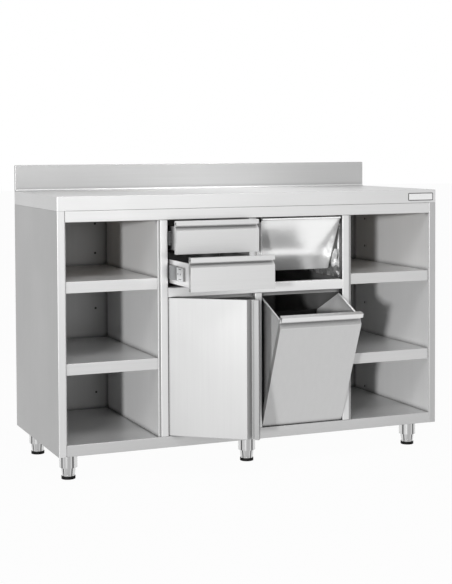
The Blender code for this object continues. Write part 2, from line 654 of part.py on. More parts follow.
def legs():
    """Three bearers under the floor, each with two thick leg tubes, and a levelling foot in each tube."""
    top = FLOOR_Z - SHEET - SEAT
    bore = INSERT_TOP_RADIUS + SEAT
    stem_top = TUBE_END + INSERT_STEM
    insert = [(0.0, stem_top), (INSERT_TOP_RADIUS, stem_top), (INSERT_TOP_RADIUS, TUBE_END),
              (INSERT_FOOT_RADIUS, PAD_HEIGHT + SEAT), (0.0, PAD_HEIGHT + SEAT)]
    pad = [(0.0, PAD_HEIGHT), (PAD_RADIUS - PAD_EDGE, PAD_HEIGHT), (PAD_RADIUS, PAD_HEIGHT - PAD_EDGE),
           (PAD_RADIUS, 0.0), (0.0, 0.0)]
    side = HALF - LEG_SIDE_INSET
    rows = (("front", FRONT + LEG_FRONT_INSET), ("rear", REAR - LEG_REAR_INSET))
    for column, x in (("left", -side), ("middle", 0.0), ("right", side)):
        edge = BEARER_WIDTH / 2
        path = [(x - edge, top - BEARER_DROP), (x - edge, top), (x + edge, top), (x + edge, top - BEARER_DROP)]
        ends = (FRONT + RAIL_FLANGE + SEAT, BACK_INNER - SHEET - BEND)
        bearer = folded(column + "_leg_bearer", path, "Y", *ends, "right", thickness=BEARER_SHEET)

        def tubes(shape):
            for _, y in rows:
                fill_ring(shape, "Z", (x, y), TUBE_END, top - BEARER_SHEET / 2, bore, LEG_RADIUS)
        unite(bearer, cutter(column + "_leg_tubes", mesh_from(tubes)))
        for row, y in rows:
            name = f"{row}_{column}"
            screw = anchor(name + "_foot_axis", (x, y, 0.0))
            turned(name + "_foot_insert", insert, STEEL, screw)
            turned(name + "_foot_pad", pad, RUBBER, screw)


worktop()
carcase()
shelves()
drawers()
door()
waste_bin()
flap()
legs()
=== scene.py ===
"""Looks of the stainless coffee machine cabinet: brushed sheet, folded fronts, turned feet and light.

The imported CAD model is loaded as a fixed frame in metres, and every piece made here rides on one of its
bodies.
"""

import logging
from collections.abc import Callable
from dataclasses import dataclass, field
from enum import Enum
from math import radians

import bmesh
import bpy
from mathutils import Euler, Matrix, Vector


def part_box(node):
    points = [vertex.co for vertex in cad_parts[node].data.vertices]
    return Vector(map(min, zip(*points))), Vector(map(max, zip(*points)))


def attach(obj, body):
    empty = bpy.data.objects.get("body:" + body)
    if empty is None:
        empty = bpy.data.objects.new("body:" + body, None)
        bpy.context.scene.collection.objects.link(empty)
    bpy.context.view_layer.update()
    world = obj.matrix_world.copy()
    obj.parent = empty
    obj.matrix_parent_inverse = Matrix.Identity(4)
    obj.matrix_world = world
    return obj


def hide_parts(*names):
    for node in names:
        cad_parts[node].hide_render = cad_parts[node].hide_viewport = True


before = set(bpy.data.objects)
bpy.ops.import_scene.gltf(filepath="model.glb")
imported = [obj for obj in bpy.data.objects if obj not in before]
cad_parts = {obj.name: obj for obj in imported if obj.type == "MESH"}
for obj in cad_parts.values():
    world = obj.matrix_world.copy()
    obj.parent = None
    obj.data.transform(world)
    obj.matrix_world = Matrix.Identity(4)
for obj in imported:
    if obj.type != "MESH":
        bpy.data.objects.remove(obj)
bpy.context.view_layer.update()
LOG = logging.getLogger("cabinet")

Piece = bpy.types.Object
Node = bpy.types.Node
Tree = bpy.types.NodeTree
Socket = bpy.types.NodeSocket
Feeds = dict[str | int, object]
Colour = tuple[float, float, float]
Span = tuple[float, float]
Way = tuple[float, float, float]

TO_FRONT: Way = (0.0, -1.0, 0.0)
TO_BACK: Way = (0.0, 1.0, 0.0)
TO_LEFT: Way = (-1.0, 0.0, 0.0)
TO_RIGHT: Way = (1.0, 0.0, 0.0)
UP: Way = (0.0, 0.0, 1.0)
DOWN: Way = (0.0, 0.0, -1.0)
UNTURNED: Way = (0.0, 0.0, 0.0)
BIN_FRONT_WAY: Way = (0.0, -0.92, -0.39)
BIN_TOP_WAY: Way = (0.0, -0.39, 0.92)
BIN_GRIP_WAY: Way = (0.0, -0.92, 0.39)
DOOR_FRONT_WAY: Way = (-0.61, -0.79, 0.0)
DOOR_EDGE_WAY: Way = (0.79, -0.61, 0.0)

SIDES = ("left", "right")
LEVELS = ("upper", "lower")
COLUMNS = ("left", "middle", "right")
SHELVES = tuple(f"{side}_shelf_{number}" for side in SIDES for number in (1, 2))

WHITE = (1.0, 1.0, 1.0, 1.0)

STREAKS_ALONG = 5.0
STREAKS_ACROSS = 520.0


class Slot(Enum):
    """The record's material slots."""

    BRUSHED = "brushed_steel"
    POLISHED = "polished_steel"
    ZINC = "zinc_steel"
    BOARD = "core_board"
    PLASTIC = "foot_plastic"


class Grain(Enum):
    """The axis that the brushing runs along: how tightly the streaks repeat along X, Y and Z."""

    X = (STREAKS_ALONG, STREAKS_ACROSS, STREAKS_ACROSS)
    Y = (STREAKS_ACROSS, STREAKS_ALONG, STREAKS_ACROSS)
    Z = (STREAKS_ACROSS, STREAKS_ACROSS, STREAKS_ALONG)


@dataclass
class NodeDesk:
    """Adds and links the nodes of one node tree."""

    tree: Tree

    def feed(self, node: Node, feeds: Feeds) -> None:
        """Link sockets to a node's inputs, or set values on them.

        Args:
            node: The node.
            feeds: The socket or value for each input.
        """
        for port, value in feeds.items():
            if isinstance(value, Socket):
                self.tree.links.new(value, node.inputs[port])
            else:
                node.inputs[port].default_value = value

    def add(self, kind: str, feeds: Feeds | None = None, **settings: object) -> Node:
        """Add a node.

        Args:
            kind: The node's type name.
            feeds: The sockets and values that go into its inputs.
            settings: Properties to set on it.

        Returns:
            The new node.
        """
        node = self.tree.nodes.new(kind)
        for key, value in settings.items():
            setattr(node, key, value)
        self.feed(node, feeds or {})
        return node

    def calc(self, operation: str, *values: float | Socket) -> Socket:
        """The result of a calculation with numbers and sockets."""
        return self.add("ShaderNodeMath", dict(enumerate(values)), operation=operation).outputs[0]

    def noise(self, scale: float, detail: float, place: Socket) -> Socket:
        """A noise from 0 to 1, by its scale, its number of finer layers and the place that it reads."""
        feeds = {"Scale": scale, "Detail": detail, "Vector": place}
        return self.add("ShaderNodeTexNoise", feeds).outputs["Fac"]

    def spread(self, value: Socket, before: Span = (0.0, 1.0), after: Span = (0.0, 1.0)) -> Socket:
        """A value mapped from one span to another, and kept inside."""
        ends = dict(zip(("From Min", "From Max", "To Min", "To Max"), (*before, *after)))
        return self.add("ShaderNodeMapRange", {"Value": value, **ends}).outputs["Result"]

    def shade(self, share: Socket, low: Colour, high: Colour) -> Socket:
        """Two colours blended, by the share of the second one."""
        feeds = {0: share, 6: (*low, 1.0), 7: (*high, 1.0)}
        return self.add("ShaderNodeMix", feeds, data_type="RGBA").outputs[2]

    def dim(self, colour: Socket, factor: Socket) -> Socket:
        """A colour multiplied by a factor."""
        return self.add("ShaderNodeVectorMath", {0: colour, "Scale": factor}, operation="SCALE").outputs[0]

    def bump(self, height: Socket, strength: float, depth: float) -> Node:
        """A bump, by its height from 0 to 1, the share of it that shows and its depth in metres."""
        return self.add("ShaderNodeBump", {"Height": height, "Strength": strength, "Distance": depth})


class SteelGroups:
    """The shader node groups that the metal finishes share, with scale and detail of their noises."""

    FINE = (1.0, 4.0)
    BROAD = (0.13, 2.0)
    CLOUDS = (3.1, 3.0)
    RIPPLES = (17.0, 1.0)
    FINE_SHARE = 0.6
    BROAD_SHARE = 0.4
    COVER = (0.35, 0.90)
    COVER_RAYS = 6

    @staticmethod
    def start(name: str, inputs: dict[str, str], outputs: tuple[str, ...]) -> NodeDesk:
        """Make an empty group.

        Args:
            name: The group's name.
            inputs: Socket names with their types.
            outputs: Names of the float sockets that it puts out.

        Returns:
            A desk for the group's tree, with its input and output nodes in place.
        """
        tree = bpy.data.node_groups.new(name, "ShaderNodeTree")
        for label, kind in inputs.items():
            tree.interface.new_socket(label, in_out="INPUT", socket_type=kind)
        for label in outputs:
            tree.interface.new_socket(label, in_out="OUTPUT", socket_type="NodeSocketFloat")
        desk = NodeDesk(tree)
        desk.add("NodeGroupInput", name="in")
        desk.add("NodeGroupOutput", name="out")
        return desk

    @classmethod
    def brushing(cls) -> Tree:
        """Fine brush streaks with broader bands, soft clouds and the ripples of thin sheet.

        Returns:
            The group, with outputs Streaks, Clouds and Ripples from 0 to 1.
        """
        known = bpy.data.node_groups.get("brushing")
        if known:
            return known
        desk = cls.start("brushing", {"Stretched": "NodeSocketVector", "Place": "NodeSocketVector"},
                         ("Streaks", "Clouds", "Ripples"))
        source = desk.tree.nodes["in"].outputs
        bands = desk.calc("MULTIPLY", desk.noise(*cls.BROAD, source["Stretched"]), cls.BROAD_SHARE)
        fine = desk.noise(*cls.FINE, source["Stretched"])
        desk.feed(desk.tree.nodes["out"], {
            "Streaks": desk.calc("MULTIPLY_ADD", fine, cls.FINE_SHARE, bands),
            "Clouds": desk.noise(*cls.CLOUDS, source["Place"]),
            "Ripples": desk.noise(*cls.RIPPLES, source["Place"]),
        })
        return desk.tree

    @classmethod
    def crevice_shade(cls) -> Tree:
        """Painted crevice shade: how open the surface lies, 0 deep in a fold or gap, 1 out in the open.

        Returns:
            The group, with the input Reach in metres and the output Open.
        """
        known = bpy.data.node_groups.get("crevice_shade")
        if known:
            return known
        desk = cls.start("crevice_shade", {"Reach": "NodeSocketFloat"}, ("Open",))
        reach = desk.tree.nodes["in"].outputs["Reach"]
        # The finishes darken their colour by this occlusion: painted shade in folds and gaps.
        cover = desk.add("ShaderNodeAmbientOcclusion", {"Distance": reach}, samples=cls.COVER_RAYS)
        desk.feed(desk.tree.nodes["out"], {"Open": desk.spread(cover.outputs["AO"], cls.COVER)})
        return desk.tree

    @classmethod
    def brushed(cls, desk: NodeDesk, grain: Grain) -> Node:
        """Add the brushing to a material, in the piece's own coordinates.

        Args:
            desk: The material's desk.
            grain: The axis that the brushing runs along.

        Returns:
            The group's node.
        """
        place = desk.add("ShaderNodeTexCoord").outputs["Object"]
        stretched = desk.add("ShaderNodeMapping", {"Vector": place, "Scale": grain.value}).outputs["Vector"]
        return desk.add("ShaderNodeGroup", {"Stretched": stretched, "Place": place}, node_tree=cls.brushing())


@dataclass(frozen=True)
class Finish:
    """A surface finish and the record's slot that it belongs to."""

    name: str
    slot: Slot = field(default=Slot.BRUSHED, kw_only=True)

    def material(self) -> bpy.types.Material:
        """Build the material once, and give the same one each time.

        Returns:
            The node material.
        """
        known = bpy.data.materials.get(self.name)
        if known:
            return known
        made = bpy.data.materials.new(self.name)
        made.use_nodes = True
        desk = NodeDesk(made.node_tree)
        desk.feed(made.node_tree.nodes["Principled BSDF"], self.feeds(desk))
        return made

    def feeds(self, desk: NodeDesk) -> Feeds:
        """What goes into the shader's inputs; each kind of finish has its own."""
        raise NotImplementedError


@dataclass(frozen=True)
class SheetFinish(Finish):
    """A brushed or polished sheet metal finish, its colour dimmed in folds and gaps as painted shade.

    Attributes:
        dark: The streaks' darkest grey.
        light: Their lightest grey.
        smooth: The lowest roughness.
        rough: The highest roughness.
        relief: How strongly the streaks stand out.
        reach: How far around a point its crevices count for the painted shade, in metres.
        gloom: What is left of the colour deep in a crevice, under the painted shade.
        ripple: Depth of the sheet's ripples in metres.
        clouds: The clouds' span that goes from smooth to rough.
        streak_depth: Depth of the streaks in metres.
    """

    dark: float
    light: float
    metallic: float
    smooth: float = 0.34
    rough: float = 0.44
    relief: float = 0.05
    grain: Grain = Grain.X
    tint: Colour = (1.0, 1.0, 1.0)
    reach: float = 0.02
    gloom: float = 0.20
    ripple: float = 0.0
    clouds: Span = (0.3, 0.7)
    streak_depth: float = 0.0004

    def tinted(self, grey: float) -> Colour:
        """A grey with the finish's tint."""
        red, green, blue = self.tint
        return grey * red, grey * green, grey * blue

    def feeds(self, desk: NodeDesk) -> Feeds:
        """Brushing, painted shade in crevices, and ripples.

        Args:
            desk: The material's desk.

        Returns:
            What goes into the shader's inputs.
        """
        brushing = SteelGroups.brushed(desk, self.grain).outputs
        shade = desk.shade(brushing["Streaks"], self.tinted(self.dark), self.tinted(self.light))
        crevice_shade = desk.add("ShaderNodeGroup", {"Reach": self.reach}, node_tree=SteelGroups.crevice_shade())
        # Colour dimmed where the surface lies in a crevice: painted shade.
        cover = desk.spread(crevice_shade.outputs["Open"], after=(self.gloom, 1.0))
        waves = desk.bump(brushing["Ripples"], 1.0, self.ripple)
        streaks = desk.bump(brushing["Streaks"], self.relief, self.streak_depth)
        desk.feed(streaks, {"Normal": waves.outputs["Normal"]})
        return {
            "Base Color": desk.dim(shade, cover),
            "Metallic": self.metallic,
            "Roughness": desk.spread(brushing["Clouds"], self.clouds, (self.smooth, self.rough)),
            "Normal": streaks.outputs["Normal"],
        }


@dataclass(frozen=True)
class PaintedReflectionTube(Finish):
    """A drawn round tube with a painted reflection: a dark line along each side of its front and its back.

    Attributes:
        front: The fixed way that the painted reflection's tones are set from, taken as the tube's front.
        bands: Place and grey of the painted reflection's tones, from 0 at the front to 1 at the side.
        wear: How far the brushing dims and lifts the tones.
    """

    metallic: float = 0.95
    roughness: float = 0.22
    front: Way = (-0.386, -0.922, 0.0)
    bands: tuple[Span, ...] = (
        (0.00, 0.42), (0.05, 0.46), (0.13, 0.66), (0.17, 0.10), (0.25, 0.08), (0.30, 0.66), (0.50, 0.70))
    wear: Span = (0.85, 1.10)

    def feeds(self, desk: NodeDesk) -> Feeds:
        """Painted reflection tones round the tube, and brushing along it.

        Args:
            desk: The material's desk.

        Returns:
            What goes into the shader's inputs.
        """
        normal = desk.add("ShaderNodeTexCoord").outputs["Normal"]
        # The tones follow each face's turn from one fixed way: a painted reflection in the base colour.
        turn = desk.add("ShaderNodeVectorMath", {0: normal, 1: self.front}, operation="DOT_PRODUCT")
        aside = desk.calc("SUBTRACT", 1.0, desk.calc("ABSOLUTE", turn.outputs["Value"]))
        ramp = desk.add("ShaderNodeValToRGB", {"Fac": aside})
        marks = ramp.color_ramp.elements
        for place, _ in self.bands[1:-1]:
            marks.new(place)
        for mark, (place, grey) in zip(marks, self.bands):
            mark.position = place
            mark.color = (grey, grey, grey, 1.0)
        brushing = SteelGroups.brushed(desk, Grain.Z).outputs
        fade = desk.spread(brushing["Streaks"], after=self.wear)
        return {
            "Base Color": desk.dim(ramp.outputs["Color"], fade),
            "Metallic": self.metallic,
            "Roughness": self.roughness,
        }


@dataclass(frozen=True)
class PlainFinish(Finish):
    """A moulded, painted or raw finish with a fine mottle; its depth is in metres."""

    low: Colour
    high: Colour
    roughness: float
    scale: float
    relief: float
    shine: float = 0.5
    detail: float = 3.0
    depth: float = 0.0005

    def feeds(self, desk: NodeDesk) -> Feeds:
        """The mottle.

        Args:
            desk: The material's desk.

        Returns:
            What goes into the shader's inputs.
        """
        place = desk.add("ShaderNodeTexCoord").outputs["Object"]
        mottle = desk.noise(self.scale, self.detail, place)
        return {
            "Base Color": desk.shade(mottle, self.low, self.high),
            "Roughness": self.roughness,
            "Specular IOR Level": self.shine,
            "Normal": desk.bump(mottle, self.relief, self.depth).outputs["Normal"],
        }


# The steel finishes below are one brushed steel, and the zinc ones one plate, in many greys. Apart from the
# brushing's streaks, each grey is painted light or shade: paler copies where light falls, darker copies where
# shade falls, set part by part and face by face.
SATIN_X = SheetFinish("satin_steel_across", 0.54, 0.62, 0.60)
RAIL_X = SheetFinish("rail_steel_across", 0.48, 0.56, 0.60, reach=0.013, gloom=0.04)
STRIP_X = SheetFinish("strip_steel_across", 0.62, 0.70, 0.55, reach=0.009)
UPSTAND_X = SheetFinish("upstand_steel_across", 0.37, 0.43, 0.60)
BASE_X = SheetFinish("base_steel_across", 0.43, 0.50, 0.60)
SATIN_Z = SheetFinish("satin_steel_upright", 0.56, 0.63, 0.55, grain=Grain.Z)
# Paler copy for the left post's front: painted light.
POST_Z = SheetFinish("post_steel_upright", 0.52, 0.60, 0.55, grain=Grain.Z)
# Darker copy for the right post's front: painted shade.
END_Z = SheetFinish("end_steel_upright", 0.38, 0.44, 0.55, grain=Grain.Z)
SIDE_Z = SheetFinish("side_steel_upright", 0.36, 0.42, 0.62, grain=Grain.Z)
DOOR_Z = SheetFinish("door_steel_upright", 0.29, 0.34, 0.60, grain=Grain.Z, reach=0.009)
BIN_Z = SheetFinish("bin_steel_upright", 0.50, 0.57, 0.55, grain=Grain.Z, reach=0.013, gloom=0.04)
# Darker tray copy with deep occlusion: painted shade.
TRAY_Y = SheetFinish("tray_steel_deep", 0.34, 0.40, 0.50, grain=Grain.Y, reach=0.12, gloom=0.05)
# Pale copy for the lower tray's left side only: painted light.
TRAY_SIDE_LIT = SheetFinish("tray_side_steel", 0.84, 0.92, 0.40, grain=Grain.Y, reach=0.006)
# Pale copy for the tub's left side: painted light where the door's shadow falls, and painted shade from deep
# occlusion inside the bay.
BIN_SIDE_LIGHT_SHADE = SheetFinish("bin_side_steel", 0.88, 0.96, 0.50, grain=Grain.Z, reach=0.06, gloom=0.0)
# Darker copy with occlusion for the bin grip's channel: painted shadow under the lip.
BIN_CHANNEL_SHADOW = SheetFinish("bin_channel_steel", 0.30, 0.36, 0.50, reach=0.020, gloom=0.0)
# Paler copy for the bin's lip and hems: painted highlight.
BIN_LIP_HIGHLIGHT = SheetFinish("bin_lip_steel", 0.68, 0.76, 0.55)
# Pale copy for the tub's right inner wall: painted light, fading to painted shade from deep occlusion.
TUB_WALL_LIGHT_SHADE = SheetFinish("tub_wall_steel", 0.90, 0.96, 0.50, grain=Grain.Z, reach=0.20, gloom=0.0)
# Darker copy for the door's grip lip: painted shade.
DOOR_LIP_SHADE = SheetFinish("door_lip_steel", 0.19, 0.23, 0.55, grain=Grain.Z)
# Dark copy for the liners' front flanges: painted shade.
FLANGE_SHADE_Z = SheetFinish("flange_steel_upright", 0.28, 0.33, 0.55, grain=Grain.Z)
# Pale copy without occlusion for the partition lining: painted light in a shaded gap.
LINING_LIT_Z = SheetFinish("lining_steel_upright", 0.90, 0.96, 0.40, smooth=0.30, rough=0.40,
                       grain=Grain.Z, reach=0.001)
# Pale copy without occlusion for the deck and the rail's top: painted light in the drawers' shadow.
DECK_LIT_X = SheetFinish("deck_steel_across", 0.90, 0.96, 0.40, smooth=0.30, rough=0.40, reach=0.001)
# Dark copy with deep occlusion for the divider's face beside the flap: painted shade.
WELL_SHADE_Z = SheetFinish("well_steel_upright", 0.20, 0.25, 0.50, grain=Grain.Z, reach=0.30, gloom=0.02)
# Paler copy for the upward faces of shelves and base: painted light from above.
TOP_LIT_X = SheetFinish("shelf_top_steel", 0.61, 0.69, 0.50, reach=0.013, gloom=0.04)
# Dark copy for the closing strip's front: painted shade under the rail.
SHADE_X = SheetFinish("closing_strip_steel", 0.24, 0.29, 0.50)
# Pale, less metallic copy for the bay liners and partition: painted light.
INNER_Z = SheetFinish("inner_steel_upright", 0.70, 0.78, 0.28, smooth=0.42, rough=0.52, grain=Grain.Z)
# Dark copy for the bays' back wall inside: painted shade.
BACK_Z = SheetFinish("back_steel_upright", 0.25, 0.30, 0.35, smooth=0.45, rough=0.55, grain=Grain.Z)
# Near-black tub steel with deep occlusion: painted shade inside the bin.
TUB_SHADE_Z = SheetFinish("tub_steel_upright", 0.06, 0.08, 0.30, smooth=0.40, rough=0.50, grain=Grain.Z,
                    reach=0.30, gloom=0.02)
MIRROR = SheetFinish("polished_steel_flap", 0.90, 0.96, 0.60, smooth=0.15, rough=0.22, relief=0.02,
                     gloom=0.4, ripple=0.0006, slot=Slot.POLISHED)
CHUTE = SheetFinish("polished_steel_chute", 0.86, 0.94, 0.85, smooth=0.05, rough=0.09, relief=0.02,
                    grain=Grain.Z, gloom=0.5, ripple=0.03, slot=Slot.POLISHED)
# Zinc plate, its grey set darker as painted shade on slides, pivots and hinge bar.
ZINC = SheetFinish("zinc_plate", 0.19, 0.24, 0.6, smooth=0.28, rough=0.42, grain=Grain.Y,
                   tint=(0.98, 1.0, 1.02), reach=0.008, slot=Slot.ZINC)
# Pale zinc copy for the trays' slide bars: painted light.
SLIDE_BAR_LIT = SheetFinish("zinc_slide_bar", 0.80, 0.90, 0.5, smooth=0.28, rough=0.42, grain=Grain.Y,
                        tint=(0.99, 1.0, 1.01), reach=0.004, slot=Slot.ZINC)
LEG_TUBE = PaintedReflectionTube("polished_leg_tube")
RUBBER = PlainFinish("black_foot_plastic", (0.003, 0.003, 0.003), (0.007, 0.007, 0.007), 0.6, 420.0, 0.2,
                     shine=0.12, slot=Slot.PLASTIC)
BOARD = PlainFinish("raw_core_board", (0.36, 0.27, 0.17), (0.50, 0.39, 0.27), 0.8, 140.0, 0.3,
                    slot=Slot.BOARD)
RIM = PlainFinish("plate_rim_black", (0.010, 0.010, 0.011), (0.020, 0.020, 0.021), 0.35, 300.0, 0.1,
                  slot=Slot.PLASTIC)
PLATE = PlainFinish("plate_face_white", (0.62, 0.62, 0.62), (0.70, 0.70, 0.70), 0.35, 260.0, 0.05)
# Near-black in place of the shade inside holes and gaps: painted shade on screws, slots and eyelets.
HOLE_SHADE = PlainFinish("hole_shadow", (0.008, 0.008, 0.008), (0.016, 0.016, 0.016), 0.8, 200.0, 0.1,
                   slot=Slot.PLASTIC)


class Bench:
    """Modelling steps, done as by hand on one object at a time; angles are in degrees."""

    MERGE_GAP = 0.00001
    FLAT_ANGLE = 0.5
    EDGE_ANGLE = 40.0
    EDGE_FACES = 2
    TURNED_ANGLE = 35.0
    ROD_SIDES = 16
    ROD_STEP = 0.3
    SQUARE_ON = 0.9

    @staticmethod
    def only(piece: Piece) -> None:
        """Deselect everything, then select one piece and make it active."""
        bpy.ops.object.select_all(action="DESELECT")
        piece.select_set(True)
        bpy.context.view_layer.objects.active = piece

    @classmethod
    def copy_node(cls, node: str, name: str) -> Piece:
        """Copy a CAD node's mesh as a new piece with merged corners and whole flat faces.

        Args:
            node: The CAD node to copy.
            name: The new piece's name.

        Returns:
            The new piece, at the origin as the node is.
        """
        piece = bpy.data.objects.new(name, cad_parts[node].data.copy())
        bpy.context.scene.collection.objects.link(piece)
        piece.data.materials.clear()
        cls.only(piece)
        bpy.ops.mesh.customdata_custom_splitnormals_clear()
        bpy.ops.object.mode_set(mode="EDIT")
        bpy.ops.mesh.select_all(action="SELECT")
        bpy.ops.mesh.remove_doubles(threshold=cls.MERGE_GAP)
        bpy.ops.mesh.dissolve_limited(angle_limit=radians(cls.FLAT_ANGLE))
        bpy.ops.object.mode_set(mode="OBJECT")
        return piece

    @classmethod
    def soften(cls, piece: Piece, width: float) -> None:
        """Round a piece's sharp edges and shade it smooth.

        Args:
            piece: The piece to round.
            width: The rounding's width in metres.
        """
        cls.only(piece)
        rounding = piece.modifiers.new("rounding", "BEVEL")
        rounding.width = width
        rounding.segments = cls.EDGE_FACES
        rounding.limit_method = "ANGLE"
        rounding.angle_limit = radians(cls.EDGE_ANGLE)
        bpy.ops.object.modifier_apply(modifier=rounding.name)
        bpy.ops.object.shade_smooth_by_angle(angle=radians(cls.EDGE_ANGLE))
        flats = piece.modifiers.new("flats", "WEIGHTED_NORMAL")
        flats.keep_sharp = True
        bpy.ops.object.modifier_apply(modifier=flats.name)

    @classmethod
    def turned(cls, name: str, profile: list[Span], sides: int = 40) -> Piece:
        """Build a round piece upwards from a disc, by extruding its face and resizing it.

        Args:
            name: The piece's name.
            profile: Radius and height of each ring, from the first face to the last.
            sides: Sides of the rings.

        Returns:
            The piece, round the origin's upright axis.
        """
        radius, height = profile[0]
        bpy.ops.object.select_all(action="DESELECT")
        bpy.ops.mesh.primitive_circle_add(vertices=sides, radius=radius, fill_type="NGON",
                                          location=(0.0, 0.0, height))
        piece = bpy.context.object
        piece.name = name
        bpy.ops.object.transform_apply(location=True, rotation=False, scale=False)
        bpy.ops.object.mode_set(mode="EDIT")
        bpy.ops.mesh.select_all(action="SELECT")
        for wide, high in profile[1:]:
            rise = (0.0, 0.0, high - height)
            bpy.ops.mesh.extrude_region_move(TRANSFORM_OT_translate={"value": rise})
            share = wide / radius
            bpy.ops.transform.resize(value=(share, share, 1.0), center_override=(0.0, 0.0, high))
            radius, height = wide, high
        bpy.ops.mesh.select_all(action="SELECT")
        bpy.ops.mesh.normals_make_consistent(inside=False)
        bpy.ops.object.mode_set(mode="OBJECT")
        bpy.ops.object.shade_smooth_by_angle(angle=radians(cls.TURNED_ANGLE))
        return piece

    @classmethod
    def rod(cls, name: str, radius: float, length: float, shoulder: float, tip: float) -> Piece:
        """Turn a rod with rounded ends.

        Args:
            name: The piece's name.
            radius: Its radius.
            length: Its length.
            shoulder: The radius behind each end, as a share of the rod's.
            tip: The radius of each end, as a share of the rod's.

        Returns:
            The rod, upright on the origin.
        """
        step = radius * cls.ROD_STEP
        return cls.turned(name, [
            (radius * tip, 0.0), (radius * shoulder, step), (radius, radius), (radius, length - radius),
            (radius * shoulder, length - step), (radius * tip, length)], cls.ROD_SIDES)

    @staticmethod
    def block(name: str, middle: Vector, size: Vector) -> Piece:
        """Start a piece from a box.

        Args:
            name: The piece's name.
            middle: The box's middle.
            size: Its size along X, Y and Z.

        Returns:
            The piece, with its place in its mesh.
        """
        bpy.ops.object.select_all(action="DESELECT")
        bpy.ops.mesh.primitive_cube_add(size=1.0, location=middle)
        piece = bpy.context.object
        piece.name = name
        piece.scale = size
        bpy.ops.object.transform_apply(location=True, rotation=True, scale=True)
        return piece

    @staticmethod
    def pick_edges(piece: Piece, meant: Callable[[bmesh.types.BMEdge], bool]) -> None:
        """Select edges of a piece that is in edit mode.

        Args:
            piece: The piece.
            meant: Says of an edge whether it is to be selected.
        """
        bpy.ops.mesh.select_all(action="DESELECT")
        for edge in bmesh.from_edit_mesh(piece.data).edges:
            edge.select = meant(edge)
        bmesh.update_edit_mesh(piece.data)

    @classmethod
    def pick_faces(cls, piece: Piece, way: Way) -> None:
        """Select those faces of a piece in edit mode that look one way.

        Args:
            piece: The piece.
            way: The way that the faces look.
        """
        bpy.ops.mesh.select_all(action="DESELECT")
        for face in bmesh.from_edit_mesh(piece.data).faces:
            face.select = face.normal.dot(Vector(way)) > cls.SQUARE_ON
        bmesh.update_edit_mesh(piece.data)


def dress(piece: Piece, finish: Finish, body: str) -> None:
    """Give a new piece its finish and its body.

    Args:
        piece: The piece.
        finish: The finish of its surface.
        body: The CAD body that it rides on.
    """
    piece.data.materials.clear()
    piece.data.materials.append(finish.material())
    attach(piece, body)
    LOG.info("%s rides on %s", piece.name, body)


def set_out(model: Piece, name: str, spot: Vector, turn: Way, finish: Finish, body: str) -> Piece:
    """Lay a dressed copy of a model, with its place in its mesh.

    Args:
        model: The model, built round the origin.
        name: The copy's name.
        spot: Where its origin goes.
        turn: Its turn about X, Y and Z in degrees.
        finish: The finish of its surface.
        body: The CAD body that it rides on.

    Returns:
        The copy.
    """
    piece = model.copy()
    piece.data = model.data.copy()
    piece.name = name
    bpy.context.scene.collection.objects.link(piece)
    Bench.only(piece)
    piece.rotation_euler = Euler([radians(part) for part in turn])
    piece.location = spot
    bpy.ops.object.transform_apply(location=True, rotation=True, scale=True)
    dress(piece, finish, body)
    return piece


def finish_node(node: str, finish: Finish) -> None:
    """Give a CAD node that stays in view its finish."""
    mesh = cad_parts[node].data
    mesh.materials.clear()
    mesh.materials.append(finish.material())


@dataclass(frozen=True)
class Facing:
    """A second finish on those faces of a piece that look one way, used here to paint light and shade face by
    face.

    Attributes:
        finish: The finish of those faces.
        way: The way that they look.
        end: Where set, only faces near the piece's end in this direction are meant.
        reach: How far from that end a face's middle may lie.
        aim: How closely a face has to look that way, as the cosine of the angle.
    """

    finish: Finish
    way: Way
    end: Way | None = None
    reach: float = 0.0
    aim: float = 0.95

    def apply(self, piece: Piece) -> None:
        """Give the faces that are meant this finish.

        Args:
            piece: The piece, dressed in its first finish.
        """
        mesh = piece.data
        mesh.materials.append(self.finish.material())
        number = len(mesh.materials) - 1
        limit = None
        if self.end is not None:
            limit = max(Vector(self.end).dot(corner.co) for corner in mesh.vertices) - self.reach
        for face in mesh.polygons:
            near = limit is None or Vector(self.end).dot(face.center) > limit
            if near and Vector(self.way).dot(face.normal) > self.aim:
                face.material_index = number


